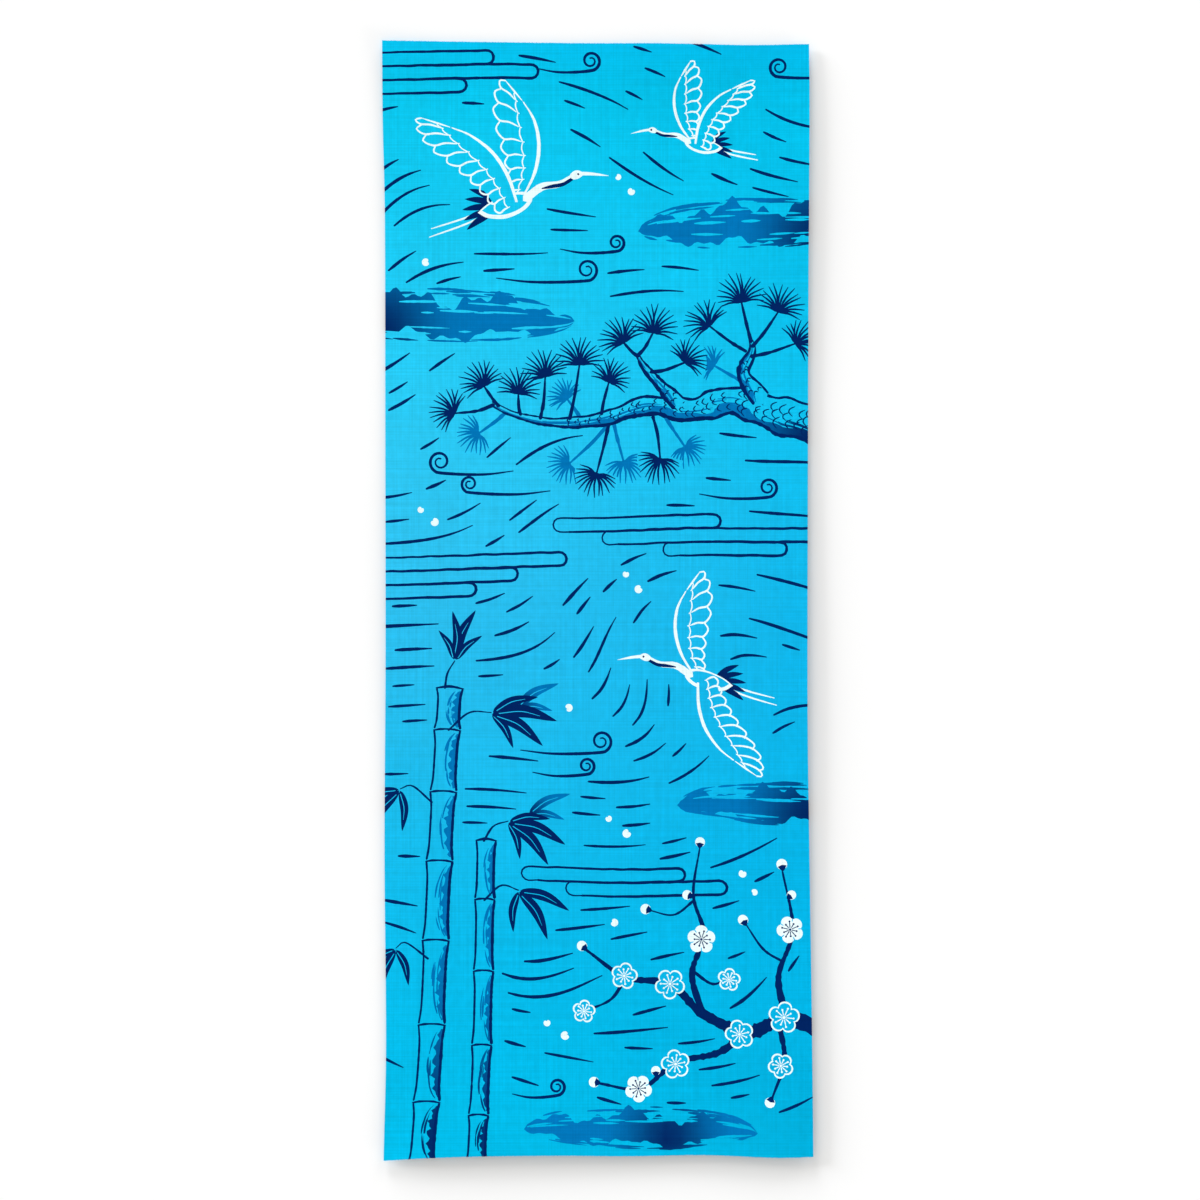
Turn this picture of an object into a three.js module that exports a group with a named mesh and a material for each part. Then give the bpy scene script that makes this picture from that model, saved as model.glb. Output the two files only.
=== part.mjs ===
// A tenugui: a thin cotton hand towel, one plain-woven panel cut across at both ends, with a selvedge
// down each long side and no hem. It lies face up on a flat surface. The middle of the cloth rests on the
// surface, and a band along each edge lifts a few millimetres, as a starched cloth does once unfolded.
// Millimetres. X runs across the cloth, Y along it and Z up, with Z = 0 on the surface below.
import * as THREE from "three";

const WIDTH = 345; // selvedge to selvedge, at its usual width
const LENGTH = 900; // cut end to cut end
const THICKNESS = 1;
const CELLS = { across: 24, along: 58 };

const HALF_WIDTH = WIDTH / 2;
const HALF_LENGTH = LENGTH / 2;

// How far each edge lies outside its straight line. "at" is the place along the edge, from -1 to 1.
const OUTLINE = {
  left: [
    { at: -1.0, out: 0.7 },
    { at: -0.8, out: -1.2 },
    { at: -0.45, out: 0.0 },
    { at: -0.1, out: -0.9 },
    { at: 0.35, out: -0.6 },
    { at: 0.7, out: -0.2 },
    { at: 0.86, out: 1.5 },
    { at: 1.0, out: 1.9 },
  ],
  right: [
    { at: -1.0, out: 2.1 },
    { at: -0.7, out: 0.6 },
    { at: -0.45, out: -1.1 },
    { at: -0.2, out: -2.6 },
    { at: 0.2, out: -2.3 },
    { at: 0.6, out: -1.7 },
    { at: 0.9, out: -0.9 },
    { at: 1.0, out: -1.3 },
  ],
  bottom: [
    { at: -1.0, out: 4.6 },
    { at: -0.83, out: 2.4 },
    { at: -0.6, out: 0.8 },
    { at: -0.2, out: 0.0 },
    { at: 0.15, out: 0.5 },
    { at: 0.5, out: -0.4 },
    { at: 0.82, out: 1.6 },
    { at: 1.0, out: 1.2 },
  ],
  top: [
    { at: -1.0, out: 2.2 },
    { at: -0.5, out: 1.1 },
    { at: 0.0, out: 0.1 },
    { at: 0.3, out: 0.0 },
    { at: 0.72, out: -1.5 },
    { at: 1.0, out: -0.8 },
  ],
};

// How high each edge stands off the surface, and how far in from the edge the lift begins.
const LIFT = {
  left: {
    band: 70,
    heights: [
      { at: -1.0, rise: 1.8 },
      { at: -0.5, rise: 1.6 },
      { at: 0.0, rise: 2.4 },
      { at: 0.5, rise: 1.4 },
      { at: 1.0, rise: 2.2 },
    ],
  },
  right: {
    band: 85,
    heights: [
      { at: -1.0, rise: 3.4 },
      { at: -0.9, rise: 5.0 },
      { at: -0.6, rise: 4.4 },
      { at: -0.15, rise: 5.4 },
      { at: 0.35, rise: 3.8 },
      { at: 0.75, rise: 4.8 },
      { at: 0.92, rise: 4.2 },
      { at: 1.0, rise: 2.8 },
    ],
  },
  bottom: {
    band: 90,
    heights: [
      { at: -1.0, rise: 2.6 },
      { at: -0.8, rise: 5.3 },
      { at: -0.35, rise: 5.6 },
      { at: 0.3, rise: 4.6 },
      { at: 0.8, rise: 5.4 },
      { at: 1.0, rise: 3.2 },
    ],
  },
  top: {
    band: 70,
    heights: [
      { at: -1.0, rise: 2.2 },
      { at: -0.2, rise: 1.6 },
      { at: 0.5, rise: 2.8 },
      { at: 1.0, rise: 1.6 },
    ],
  },
};

// The value of a column at any place along a table: a smooth curve through its rows.
function through(rows, column, at) {
  const last = rows.length - 1;
  const slope = (i) => {
    const before = rows[Math.max(i - 1, 0)];
    const after = rows[Math.min(i + 1, last)];
    return (after[column] - before[column]) / (after.at - before.at);
  };
  let i = 0;
  while (i < last - 1 && at > rows[i + 1].at) i += 1;
  const gap = rows[i + 1].at - rows[i].at;
  const t = (at - rows[i].at) / gap;
  const bend = t * t * (3 - 2 * t);
  return (
    rows[i][column] * (1 - bend) +
    rows[i + 1][column] * bend +
    gap * t * (1 - t) * ((1 - t) * slope(i) - t * slope(i + 1))
  );
}

// Where a point of the straight cloth lies inside the uneven outline. u and v run from -1 to 1.
function placed(u, v) {
  const left = -HALF_WIDTH - through(OUTLINE.left, "out", v);
  const right = HALF_WIDTH + through(OUTLINE.right, "out", v);
  const bottom = -HALF_LENGTH - through(OUTLINE.bottom, "out", u);
  const top = HALF_LENGTH + through(OUTLINE.top, "out", u);
  return {
    x: THREE.MathUtils.lerp(left, right, (u + 1) / 2),
    y: THREE.MathUtils.lerp(bottom, top, (v + 1) / 2),
  };
}

// How high one edge lifts the cloth at a distance in from that edge: a soft step over the band.
function liftOf(edge, inward, at) {
  const near = THREE.MathUtils.clamp(1 - inward / edge.band, 0, 1);
  return through(edge.heights, "rise", at) * near * near * (3 - 2 * near);
}

// The height of the cloth's underside. Two edges that meet at a corner lift it together.
function heightAt(u, v) {
  return Math.hypot(
    liftOf(LIFT.left, (1 + u) * HALF_WIDTH, v),
    liftOf(LIFT.right, (1 - u) * HALF_WIDTH, v),
    liftOf(LIFT.bottom, (1 + v) * HALF_LENGTH, u),
    liftOf(LIFT.top, (1 - v) * HALF_LENGTH, u),
  );
}

// The cloth starts as a flat slab of cells, and each corner moves to its place on the lifted cloth.
function clothGeometry() {
  const geometry = new THREE.BoxGeometry(2, 2, THICKNESS, CELLS.across, CELLS.along, 1);
  const corners = geometry.getAttribute("position");
  for (let i = 0; i < corners.count; i += 1) {
    const u = corners.getX(i);
    const v = corners.getY(i);
    const { x, y } = placed(u, v);
    corners.setXYZ(i, x, y, corners.getZ(i) + THICKNESS / 2 + heightAt(u, v));
  }
  geometry.computeBoundingBox();
  const middle = geometry.boundingBox.getCenter(new THREE.Vector3());
  geometry.translate(-middle.x, -middle.y, 0);
  geometry.computeVertexNormals();
  return geometry;
}

const dyedCotton = new THREE.MeshStandardMaterial({ color: 0x0cbcee, roughness: 0.85, metalness: 0 });

const towel = new THREE.Mesh(clothGeometry(), dyedCotton);
towel.name = "towel_cloth";

const part = new THREE.Group();
part.add(towel);

export default part;
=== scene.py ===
"""A tenugui, the long thin cotton hand towel: one panel of plain-woven cloth, dyed right through.

The cloth is sky blue with a picture of pine, bamboo, plum and flying cranes in navy, mid-blue and white.
It lies open and face up, with its raw cut ends at the top and the bottom. Places on the cloth are in
millimetres from its middle while it is drawn, and in metres once it is a mesh.
"""

import math

import bpy
import numpy as np
from mathutils.geometry import delaunay_2d_cdt
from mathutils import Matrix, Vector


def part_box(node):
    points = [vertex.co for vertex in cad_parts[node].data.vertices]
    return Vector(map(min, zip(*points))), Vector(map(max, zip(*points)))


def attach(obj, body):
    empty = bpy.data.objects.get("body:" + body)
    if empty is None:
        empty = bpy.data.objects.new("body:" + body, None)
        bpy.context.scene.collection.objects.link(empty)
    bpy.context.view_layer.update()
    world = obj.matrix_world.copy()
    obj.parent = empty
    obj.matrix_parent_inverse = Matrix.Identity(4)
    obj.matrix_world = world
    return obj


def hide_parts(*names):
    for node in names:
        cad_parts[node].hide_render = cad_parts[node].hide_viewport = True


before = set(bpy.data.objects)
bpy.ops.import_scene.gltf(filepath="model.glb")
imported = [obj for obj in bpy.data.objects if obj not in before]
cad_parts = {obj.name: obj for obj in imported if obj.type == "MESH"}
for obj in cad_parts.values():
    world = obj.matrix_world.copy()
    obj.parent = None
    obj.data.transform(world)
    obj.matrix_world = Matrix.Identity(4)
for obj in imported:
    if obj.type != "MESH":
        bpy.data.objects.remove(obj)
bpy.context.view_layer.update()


# ---------------------------------------------------------------------------------------------
# The panel. One length of cotton cut straight off the loom's roll: a selvedge down each long side,
# a raw cut across each end and no hem. Washed and laid out, it draws in by a few millimetres
# towards the middle, and a band along each edge lifts a little off the surface.

WIDTH, LENGTH = 345.0, 900.0

# How far each edge lies outside its straight line, in mm, at places from -1 to 1 along the edge.
LEFT_AT = [-1, -0.8, -0.45, -0.1, 0.35, 0.7, 0.86, 1]
LEFT_OUT = [0.7, -1.2, 0, -0.9, -0.6, -0.2, 1.5, 1.9]
RIGHT_AT = [-1, -0.7, -0.45, -0.2, 0.2, 0.6, 0.9, 1]
RIGHT_OUT = [2.1, 0.6, -1.1, -2.6, -2.3, -1.7, -0.9, -1.3]
BOTTOM_AT = [-1, -0.83, -0.6, -0.2, 0.15, 0.5, 0.82, 1]
BOTTOM_OUT = [4.6, 2.4, 0.8, 0, 0.5, -0.4, 1.6, 1.2]
TOP_AT = [-1, -0.5, 0, 0.3, 0.72, 1]
TOP_OUT = [2.2, 1.1, 0.1, 0, -1.5, -0.8]

# How high each edge stands off the surface at such places, and how far in from it the lift begins, in mm.
LEFT_LIFT = [-1, -0.5, 0, 0.5, 1], [1.8, 1.6, 2.4, 1.4, 2.2]
RIGHT_LIFT = [-1, -0.9, -0.6, -0.15, 0.35, 0.75, 0.92, 1], [3.4, 5.0, 4.4, 5.4, 3.8, 4.8, 4.2, 2.8]
BOTTOM_LIFT = [-1, -0.8, -0.35, 0.3, 0.8, 1], [2.6, 5.3, 5.6, 4.6, 5.4, 3.2]
TOP_LIFT = [-1, -0.2, 0.5, 1], [2.2, 1.6, 2.8, 1.6]
LEFT_BAND, RIGHT_BAND, BOTTOM_BAND, TOP_BAND = 70.0, 85.0, 90.0, 70.0


def through(at, values, where):
    """A smooth curve through the values: cubic between each two, sloped at each as its neighbours lie."""
    at, values = np.array(at, float), np.array(values, float)
    i = np.clip(np.searchsorted(at, where, side="left") - 1, 0, len(at) - 2)
    before, after = np.maximum(np.arange(len(at)) - 1, 0), np.minimum(np.arange(len(at)) + 1, len(at) - 1)
    slope = (values[after] - values[before]) / (at[after] - at[before])
    gap = at[i + 1] - at[i]
    t = (where - at[i]) / gap
    bend = t * t * (3 - 2 * t)
    swing = gap * t * (1 - t) * ((1 - t) * slope[i] - t * slope[i + 1])
    return values[i] * (1 - bend) + values[i + 1] * bend + swing


def laid_out(flat):
    """Where points of the straight flat panel lie in plan: set between the uneven edges in proportion."""
    u, v = flat[:, 0] / (WIDTH / 2), flat[:, 1] / (LENGTH / 2)
    left = -WIDTH / 2 - through(LEFT_AT, LEFT_OUT, v)
    right = WIDTH / 2 + through(RIGHT_AT, RIGHT_OUT, v)
    bottom = -LENGTH / 2 - through(BOTTOM_AT, BOTTOM_OUT, u)
    top = LENGTH / 2 + through(TOP_AT, TOP_OUT, u)
    return np.column_stack([left + (right - left) * (u + 1) / 2, bottom + (top - bottom) * (v + 1) / 2])


def lifted(flat):
    """The height of the underside: each edge's lift falls off in a soft step over its band, and two add
    up at a corner as the sides of a right angle do."""
    u, v = flat[:, 0] / (WIDTH / 2), flat[:, 1] / (LENGTH / 2)
    total = 0.0
    for (at, rise), band, inward, along in [
        (LEFT_LIFT, LEFT_BAND, (1 + u) * WIDTH / 2, v),
        (RIGHT_LIFT, RIGHT_BAND, (1 - u) * WIDTH / 2, v),
        (BOTTOM_LIFT, BOTTOM_BAND, (1 + v) * LENGTH / 2, u),
        (TOP_LIFT, TOP_BAND, (1 - v) * LENGTH / 2, u),
    ]:
        near = np.clip(1 - inward / band, 0, 1)
        total = total + (through(at, rise, along) * near * near * (3 - 2 * near)) ** 2
    return np.sqrt(total)


# ---------------------------------------------------------------------------------------------
# The mist. Banks of level bars with round ends are outlined in one navy brush stroke each. Between
# them lies haze: ragged mid-blue, with navy poured into one end while it is wet, so that it fades out.

GROUND, NAVY, BLUE, WHITE = range(4)
BAR = 5.5                                       # half the height of a bar, mm
RISE, DIP = 0.62, -0.38                         # how far haze reaches above its level and below it
RAGGED = (0.30, 17), (0.20, 43), (0.12, 97)     # the sines in its edge: size, and how fast they turn

drawing = []        # each shape of the picture: its dye, its outline, and where navy is poured in
clear = []          # discs that the wind lines keep off: x, y and radius
rng = np.random.default_rng(41)


def curve(points, step=2.0):
    """A Catmull-Rom curve through the points: a cubic between each two whose slope at a point is half
    the way from the one before to the one after. It is sampled evenly, about a step apart."""
    p = np.array(points, float)
    p = np.vstack([2 * p[0] - p[1], p, 2 * p[-1] - p[-2]])
    a, b, c, d = p[:-3], p[1:-2], p[2:-1], p[3:]
    t = np.linspace(0, 1, 12, endpoint=False)[:, None, None]
    way = b + 0.5 * ((c - a) * t + (2 * a - 5 * b + 4 * c - d) * t**2 + (3 * b - a - 3 * c + d) * t**3)
    way = np.vstack([way.transpose(1, 0, 2).reshape(-1, 2), p[-2]])
    run = np.append(0, np.cumsum(np.linalg.norm(np.diff(way, axis=0), axis=1)))
    at = np.linspace(0, run[-1], max(math.ceil(run[-1] / step), 4) + 1)
    return np.column_stack([np.interp(at, run, way[:, k]) for k in (0, 1)])


def heading(way):
    """The unit step along a way at each of its points, and the unit step square to it, to the left."""
    ahead = np.gradient(way, axis=0)
    ahead /= np.linalg.norm(ahead, axis=1)[:, None]
    return ahead, np.column_stack([-ahead[:, 1], ahead[:, 0]])


def ribbon(way, half):
    """The outline of a line along a way: half its width to each side, and a point past each end."""
    ahead, left = heading(way)
    side = left * half[:, None]
    return np.vstack([way[0] - ahead[0] * half[0] * 0.8, way + side,
                      way[-1] + ahead[-1] * half[-1] * 0.8, (way - side)[::-1]])


def brush(points, width, dye=NAVY, ends=(0.45, 0.25), rough=0.06, step=2.0, full=0.45, pour=None):
    """A brush stroke. It swells from ends[0] of its width, is widest at full of its way, as a quarter of
    a sine each side, and thins to ends[1], with a little unevenness from the hand."""
    way = curve(points, step)
    t = np.linspace(0, 1, len(way))
    swell = ends[0] + (1 - ends[0]) * np.sin(np.clip(t / full, 0, 1) * np.pi / 2)
    fade = ends[1] + (1 - ends[1]) * np.sin(np.clip((1 - t) / (1 - full), 0, 1) * np.pi / 2)
    half = 0.5 * width * swell * fade * (1 + rng.normal(0, rough, len(way)))
    drawing.append((dye, ribbon(way, half), pour))


def drift(x, bank):
    """How far a bank strays from level, in mm: a slow sine wave that starts elsewhere in each bank."""
    return 2.2 * np.sin(x / 58 + bank)


def bar(x0, x1, y, bank):
    """The outline of a bar: two half-circles joined by straight lines, all drifting with their bank."""
    turn = np.linspace(-np.pi / 2, np.pi / 2, 5)
    x = np.linspace(x0, x1, max(int((x1 - x0) / 7), 3))[1:-1]
    outline = np.vstack([
        np.column_stack([x, np.full(len(x), y - BAR)]),
        np.column_stack([x1 + BAR * np.cos(turn), y + BAR * np.sin(turn)]),
        np.column_stack([x[::-1], np.full(len(x), y + BAR)]),
        np.column_stack([x0 - BAR * np.cos(turn), y - BAR * np.sin(turn)]),
    ])
    outline[:, 1] += drift(outline[:, 0], bank) + rng.normal(0, 0.18, len(outline))
    return outline


def mist(rows):
    """A bank of bars, each outlined in one stroke that begins and ends at its lower left corner."""
    outlines = [bar(x0, x1, y, rows[0][2]) for x0, x1, y in rows]
    for outline in outlines:
        drawing.append((GROUND, outline, None))
    for outline in outlines:
        brush(np.vstack([outline, outline[:2]]), 2.4, ends=(0.7, 0.5), rough=0.05, step=3.0, full=0.3)
    for x0, x1, y in rows:
        clear.extend((x, y, BAR + 6) for x in np.arange(x0, x1 + BAR, BAR))


def haze(x0, x1, y, tall, pour):
    """A ragged bank: each edge is half an ellipse, uneven as three sines that are out of step. Streaks of
    mid-blue stray off it, and bare ground shows through it in slits, along larger or smaller ellipses."""
    x = np.linspace(x0, x1, int((x1 - x0) / 2.5))
    t = np.linspace(0, 1, len(x))
    level = y + drift(x, y)
    swell = tall * np.sqrt(4 * t * (1 - t))
    outline = []
    for side in (RISE, DIP):
        waves = [size * np.sin(turns * t + rng.uniform(0, 6)) for size, turns in RAGGED]
        outline.append(np.column_stack([x, level + side * swell * (1 + sum(waves))]))
    drawing.append((BLUE, np.vstack([outline[1], outline[0][::-1]]), pour))
    for k in range(int((x1 - x0) / 4)):
        first = int(rng.integers(0, len(x) - 8))
        part = slice(first, first + int(rng.integers(6, 17)))
        slit = k % 5 < 2
        depth = (RISE if k % 3 else DIP) * (rng.uniform(0.35, 0.95) if slit else rng.uniform(1.1, 1.5))
        streak = np.column_stack([x[part], level[part] + depth * swell[part]])
        dye, poured = (GROUND, None) if slit else (BLUE, pour)
        brush(streak[::2], rng.uniform(1.2, 2.4), dye, ends=(0.4, 0.2), rough=0.12, step=3.0, pour=poured)
    clear.extend((px, y, tall * 0.7 + 5) for px in np.arange(x0 + 6, x1 - 5, 5))


mist([(-190, -88, 436), (-190, -52, 425), (-190, -110, 414)])
haze(34, 222, 300, 28, (182, 296, 74))
haze(-230, -18, 226, 30, (-176, 220, 66))
mist([(-30, 96, 62), (10, 190, 51), (60, 150, 40)])
mist([(-190, -70, 20), (-190, -104, 9), (-190, -30, 31)])
haze(66, 248, -169, 24, (172, -172, 66))
mist([(-56, 66, -222), (-20, 100, -233)])
haze(-60, 128, -430, 23, (56, -434, 56))


# ---------------------------------------------------------------------------------------------
# The pine. One old bough reaches in from the right. It has rough navy edges, curved plates of bark
# and dry-brush shading in mid-blue along its under side, and a fan of needles ends every twig.

BOUGH_POUR = (176, 130, 70)     # where navy is poured into the bough's shading: x, y and radius


def toward(degrees):
    """A unit step at an angle, anticlockwise from the right."""
    return np.array([math.cos(math.radians(degrees)), math.sin(math.radians(degrees))])


def shade(way, reach, pour, streaks):
    """Dry-brush shading on the left of a way: a band of mid-blue as wide as half its reach, uneven as
    two sines that are out of step, and past it the streaks that stray hairs of the brush leave."""
    _, left = heading(way)
    t = np.linspace(0, 1, len(way))
    reach = reach * np.sin(np.pi * (0.04 + 0.92 * t)) ** 0.5
    wave = 0.14 * np.sin(31 * t + rng.uniform(0, 6)) + 0.10 * np.sin(73 * t + rng.uniform(0, 6))
    band = (0.50 + wave)[:, None] * left * reach[:, None]
    drawing.append((BLUE, np.vstack([way, (way + band)[::-1]]), pour))
    for _ in range(streaks):
        first = rng.integers(0, max(len(way) - 6, 1))
        part = slice(first, first + int(rng.integers(5, 12)))
        depth = (rng.uniform(0.55, 1.0) * reach)[part, None]
        hair = way[part] + left[part] * depth
        brush(hair, rng.uniform(0.9, 1.6), BLUE, ends=(0.6, 0.2), step=3.0, pour=pour)


def bough(rows):
    """A branch from rows of x, y and width, root first. It is shaded along its left, which is the under
    side of a bough that grows leftward, and its plates of bark are short arcs across the wood."""
    table = np.array(rows, float)
    way = curve(table[:, :2], 3.0)
    half = np.interp(np.linspace(0, 1, len(way)), np.linspace(0, 1, len(table)), table[:, 2] / 2)
    half *= 1 + 0.10 * np.sin(np.arange(len(way)) * 0.62) + rng.normal(0, 0.03, len(way))
    ahead, left = heading(way)
    drawing.append((GROUND, ribbon(way, half), None))
    low = way + left * half[:, None]
    shade(low[::-1], 1.4 * half[::-1], BOUGH_POUR, streaks=len(way) // 3)
    for i in range(2, len(way) - 2, 3):
        for off in (-0.45, 0.0, 0.42) if half[i] > 3.6 else ():
            across = left[i] * half[i]
            centre = way[i] + across * (off + rng.uniform(-0.12, 0.12)) + ahead[i] * rng.uniform(-3, 3)
            bend, size = ahead[i] * half[i] * 0.25, across * rng.uniform(0.22, 0.32)
            brush([centre - size, centre + bend - size * 0.3, centre + bend + size * 0.4, centre + size], 1.2,
                  ends=(0.5, 0.4))
    for side, width in ((1, 3.2), (-1, 2.3)):
        brush((way + left * (half * side)[:, None])[::2], width, ends=(0.8, 0.4), rough=0.16, step=2.5)
    clear.extend(zip(way[:, 0], way[:, 1], half + 6))


def twig(points, width=3.0, dye=NAVY):
    """A short solid stem, thickest where it leaves the wood."""
    brush(points, width, dye, ends=(1.0, 0.5), rough=0.10, step=3.0, full=0.05)
    clear.extend((x, y, 6) for x, y in curve(points, 6.0))


def fan(x, y, lean, size, dye, count=15, spread=190):
    """Pine needles spread round a hub, the middle ones longest, each bowed a little to its lower side."""
    hub = np.array([x, y], float)
    for k, angle in enumerate(np.linspace(lean - spread / 2, lean + spread / 2, count)):
        way = toward(angle + rng.normal(0, 2))
        far = size * (1 - 0.2 * (2 * k / (count - 1) - 1) ** 2) * rng.uniform(0.92, 1.05)
        bow = np.array([-way[1], way[0]]) * size * math.copysign(0.06, way[0])
        brush([hub + way * 2.4, hub + way * far * 0.5 + bow, hub + way * far], 1.7, dye,
              ends=(0.8, 0.35), step=4.0, full=0.3)
    foot = [toward(angle) * 2.6 for angle in np.linspace(lean - 105, lean + 105, 9)]
    drawing.append((dye, hub + foot, None))


def fans(rows, dye):
    """Fans of needles on bare ground, each at the end of its twig."""
    for x, y, lean, size, _, _ in rows:
        patch = [toward(angle) * size * 0.9 for angle in np.linspace(lean - 100, lean + 100, 15)]
        drawing.append((GROUND, np.array([x, y]) + patch, None))
        clear.append((*(np.array([x, y]) + toward(lean) * size * 0.35), size * 1.1))
    for x, y, lean, _, root_x, root_y in rows:
        knee = 0.5 * np.array([x + root_x, y + root_y]) - toward(lean) * 3
        twig([(root_x, root_y), knee, (x, y)], 3.0, dye)
    for x, y, lean, size, _, _ in rows:
        fan(x, y, lean, size, dye)


# Each fan: its hub, the way it leans in degrees, its size, and where its twig leaves the wood.
REAR = [
    (-96, 134, 205, 19, -74, 151), (-24, 162, 130, 17, -14, 148), (96, 190, 150, 17, 118, 178),
    (-22, 110, 205, 19, 8, 140), (22, 112, 290, 19, 14, 143), (72, 124, 310, 18, 56, 148),
]
FRONT = [
    (-116, 150, 150, 21, -84, 157), (-92, 172, 118, 22, -80, 156), (-64, 166, 80, 21, -62, 149),
    (-42, 180, 105, 22, -46, 146), (-14, 190, 92, 23, -22, 146), (10, 176, 66, 20, 4, 150),
    (22, 208, 120, 22, 34, 197), (46, 216, 80, 23, 34, 198), (72, 192, 48, 20, 44, 184),
    (92, 222, 130, 22, 122, 202), (118, 242, 100, 24, 126, 210), (148, 234, 70, 23, 127, 206),
    (162, 208, 35, 20, 126, 198), (0, 102, 250, 20, 10, 142), (52, 114, 255, 21, 46, 148),
]
fans(REAR, BLUE)
for rows in [
    [(190, 140, 34), (150, 150, 29), (112, 162, 24), (78, 154, 19), (40, 157, 15), (4, 146, 11),
     (-34, 143, 8), (-66, 149, 5), (-86, 158, 3)],
    [(134, 164, 14), (120, 184, 11), (127, 202, 7), (126, 211, 3)],
    [(67, 159, 11), (51, 175, 8), (38, 190, 5), (33, 199, 2.5)],
]:
    bough(rows)
fans(FRONT, NAVY)


# ---------------------------------------------------------------------------------------------
# The bamboo. Two canes stand at the lower left, in straight lengths drawn in at the middle, with a
# ridge at every joint. They are shaded down the right side and carry sprays of pointed leaves.

CANE_POUR = (-118, -440, 150)     # where navy is poured into the canes' shading: x, y and radius


def cane(foot, head, width, joints):
    """A cane from foot to head, jointed at those distances: each length is a strip whose half-width
    grows with the fourth power of the distance from its middle."""
    foot, head = np.array(foot, float), np.array(head, float)
    ahead = (head - foot) / np.linalg.norm(head - foot)
    left = np.array([-ahead[1], ahead[0]])
    for low, high in zip(joints[:-1], joints[1:]):
        t = np.linspace(0, 1, 25)[:, None]
        way = foot + ahead * (low + 1.3 + (high - low - 2.6) * t)
        half = 0.5 * width * (0.90 + 0.15 * (2 * t - 1) ** 4)
        drawing.append((GROUND, np.vstack([way + left * half, (way - left * half)[::-1]]), None))
        shade((way - left * half)[1:-1], np.full(23, width * 0.56), CANE_POUR, streaks=7)
        brush((way + left * half)[::4], 1.8, ends=(0.9, 0.9), rough=0.08)
        brush((way - left * half)[::4], 2.5, ends=(0.9, 0.8), rough=0.10)
        ridge, side = foot + ahead * high, left * width * 0.56
        brush([ridge + side - ahead * 0.6, ridge + ahead, ridge - side - ahead * 0.6], 2.3, ends=(0.5, 0.5))
        clear.extend((*(foot + ahead * s), width / 2 + 6) for s in np.arange(low, high, 8))


def blade(points, width, dye, fullest=0.38, pour=None):
    """A leaf or feather: its half-width is a sine of the way along, bent so that it peaks at fullest."""
    way = curve(points)
    t = np.linspace(0, 1, len(way)) ** (math.log(0.5) / math.log(fullest))
    drawing.append((dye, ribbon(way, 0.5 * width * np.sin(np.pi * t) ** 0.8 + 0.12), pour))


def spray(x, y, lean, sizes, dye=NAVY):
    """Bamboo leaves from one point, fanned about the way they lean, each with a pale rib."""
    spread = 76 if len(sizes) > 2 else 34
    hub = np.array([x, y], float)
    for angle, size in zip(np.linspace(lean - spread / 2, lean + spread / 2, len(sizes)), sizes):
        way = toward(angle)
        bow = np.array([-way[1], way[0]]) * size * math.copysign(0.08, way[0])
        reach = way * size
        blade([hub + way * 1.5, hub + reach * 0.5 + bow, hub + reach], size * 0.19, dye,
              pour=(x, y, 26) if dye == BLUE else None)
        brush([hub + reach * 0.12, hub + reach * 0.45 + bow * 0.9, hub + reach * 0.74 + bow * 0.5],
              0.7, GROUND, ends=(1, 0.4), rough=0.03, step=4)
        clear.extend([(*(hub + reach * 0.5), size * 0.36), (*(hub + reach * 0.92), size * 0.2)])


cane((-142, -455), (-120, -72), 20, [0, 50, 112, 180, 244, 300, 350, 384])
cane((-98, -455), (-90, -196), 15, [0, 38, 94, 154, 212, 260])
for points in (
    [(-121, -106), (-104, -92), (-86, -92)], [(-124, -72), (-122, -60), (-116, -50)],
    [(-134, -164), (-150, -150), (-160, -152)], [(-92, -196), (-84, -184), (-72, -180)],
    [(-92, -244), (-78, -232), (-64, -236)], [(-138, -290), (-156, -276), (-164, -280)],
):
    twig(points, 1.8)
for x, y, lean, sizes, dye in [
    (-66, -88, 12, [30, 40], BLUE), (-86, -92, -20, [34, 50, 54, 40], NAVY),
    (-116, -50, 80, [30, 44, 40, 28], NAVY), (-160, -152, 235, [34, 46, 34], NAVY),
    (-56, -174, 8, [30, 38], BLUE), (-72, -180, -35, [32, 48, 50, 34], NAVY),
    (-64, -236, -60, [34, 46, 44], NAVY), (-164, -280, 250, [30, 40, 32], NAVY),
]:
    spray(x, y, lean, sizes, dye)


# ---------------------------------------------------------------------------------------------
# The plum. A rough old branch in solid navy forks up from the lower right, with white blossom, some
# of it only outlined, round buds in navy cups, and a few petals gone on the wind.

def branch(points, widths):
    """A solid branch: its width follows the list from root to tip, with an uneven edge."""
    way = curve(points, 2.5)
    half = np.interp(np.linspace(0, 1, len(way)), np.linspace(0, 1, len(widths)), np.array(widths) / 2)
    half *= 1 + rng.normal(0, 0.12, len(way))
    drawing.append((NAVY, ribbon(way, half), None))
    clear.extend(zip(way[:, 0], way[:, 1], half + 5))


def dot(x, y, radius, dye, sides=10):
    """A round dot."""
    turn = np.linspace(0, 2 * np.pi, sides, endpoint=False)
    drawing.append((dye, np.column_stack([x + radius * np.cos(turn), y + radius * np.sin(turn)]), None))


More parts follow.
